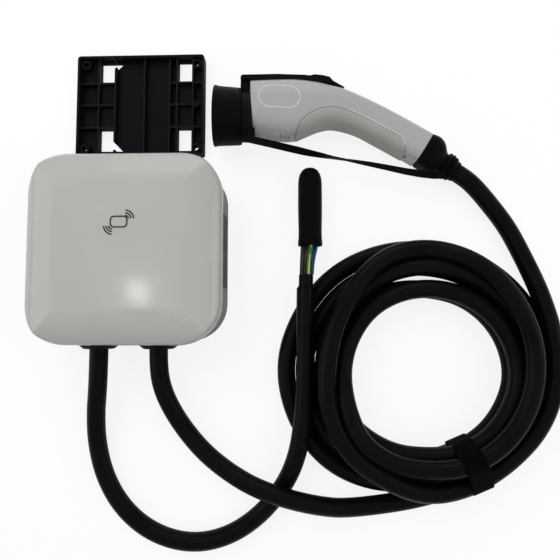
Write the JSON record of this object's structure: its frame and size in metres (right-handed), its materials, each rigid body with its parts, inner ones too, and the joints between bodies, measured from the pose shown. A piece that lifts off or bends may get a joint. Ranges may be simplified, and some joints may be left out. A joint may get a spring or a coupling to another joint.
{
  "type": "electric car wallbox with coiled charging cable",
  "caption": "Wall-mounted car charger: cushion-shaped box with ribbed wall bracket, stripped supply lead, and a strapped cable coil ending in a capped vehicle plug with a latch lever.",
  "frame": {"origin": "middle of the box's rear plane, where it meets the wall; the box lies on its back as pictured", "axes": "+Z out of the front cover, +Y towards the box's upper edge, +X to its right"},
  "size_m": [0.4955, 0.4905, 0.074],
  "materials": {
    "cover_silver": "satin, light grey",
    "housing_grey": "matte, fine texture",
    "seal_rubber": "soft matte",
    "plate_dark": "matte",
    "screw_steel": "plain zinc",
    "board_green": "solder mask",
    "device_black": "moulded",
    "device_blue": "moulded",
    "terminal_grey": "moulded",
    "stud_brass": "turned",
    "gland_black": "satin",
    "cable_black": "smooth, slightly glossy",
    "bracket_black": "matte",
    "end_cap_black": "shrunk sleeve",
    "core_dark": "smooth",
    "core_brown": "smooth",
    "core_earth": "smooth, striped green and yellow",
    "core_blue": "smooth",
    "strap_black": "satin",
    "plug_black": "satin",
    "cap_rubber": "satin",
    "shell_white": "satin gloss",
    "grip_grey": "soft matte"
  },
  "bodies": {
    "wallbox": {"front_cover": "cover_silver", "rear_housing": "housing_grey", "cover_gasket": "seal_rubber", "gland_seal_in": "seal_rubber", "gland_seal_out": "seal_rubber", "side_plate": "plate_dark", "cover_screws": "screw_steel", "board_screws": "screw_steel", "shell_screws": "screw_steel", "clamp_screws": "screw_steel", "latch_pin": "screw_steel", "latch_spring": "screw_steel", "control_board": "board_green", "card_reader_board": "board_green", "relay_pair": "device_black", "current_sensor": "device_black", "latch_switch": "device_black", "power_module": "device_blue", "terminal_block_in": "terminal_grey", "terminal_block_out": "terminal_grey", "earth_stud": "stud_brass", "contact_sleeves": "stud_brass", "gland_body_in": "gland_black", "gland_body_out": "gland_black", "gland_nut_in": "gland_black", "gland_nut_out": "gland_black", "gland_locknut_in": "gland_black", "gland_locknut_out": "gland_black", "supply_tails": "cable_black", "output_tails": "cable_black", "supply_lead": "cable_black", "sheath_end": "cable_black", "charge_cable_out": "cable_black", "cable_coil": "cable_black", "charge_cable_in": "cable_black", "plug_lead": "cable_black", "wall_bracket": "bracket_black", "end_cap": "end_cap_black", "core_dark": "core_dark", "core_brown": "core_brown", "core_earth": "core_earth", "core_blue": "core_blue", "coil_tie": "strap_black", "plug_nose": "plug_black", "plug_collar": "plug_black", "cable_clamp": "plug_black", "cap_strap": "cap_rubber", "tail_boot": "cap_rubber", "plug_shell_upper": "shell_white", "plug_shell_lower": "shell_white", "grip_pad": "grip_grey"},
    "cap": {"dust_cap": "cap_rubber"},
    "latch": {"latch_lever": "plug_black"}
  },
  "joints": [
    {"name": "latch_press", "type": "hinge", "parent": "wallbox", "child": "latch", "pos_m": [0.15045, 0.16576, 0.02616], "axis": [-0.0576, 0.0013, -0.9983], "range_deg": [0, 2.5], "stiffness_Nm_per_rad": 2, "springref_deg": -1.72, "deforming": ["latch_spring"]},
    {"name": "cap_pull", "type": "slide", "parent": "wallbox", "child": "cap", "axis": [-0.9981, 0.0227, 0.0576], "range_m": [0, 0.009], "deforming": ["cap_strap"]}
  ]
}
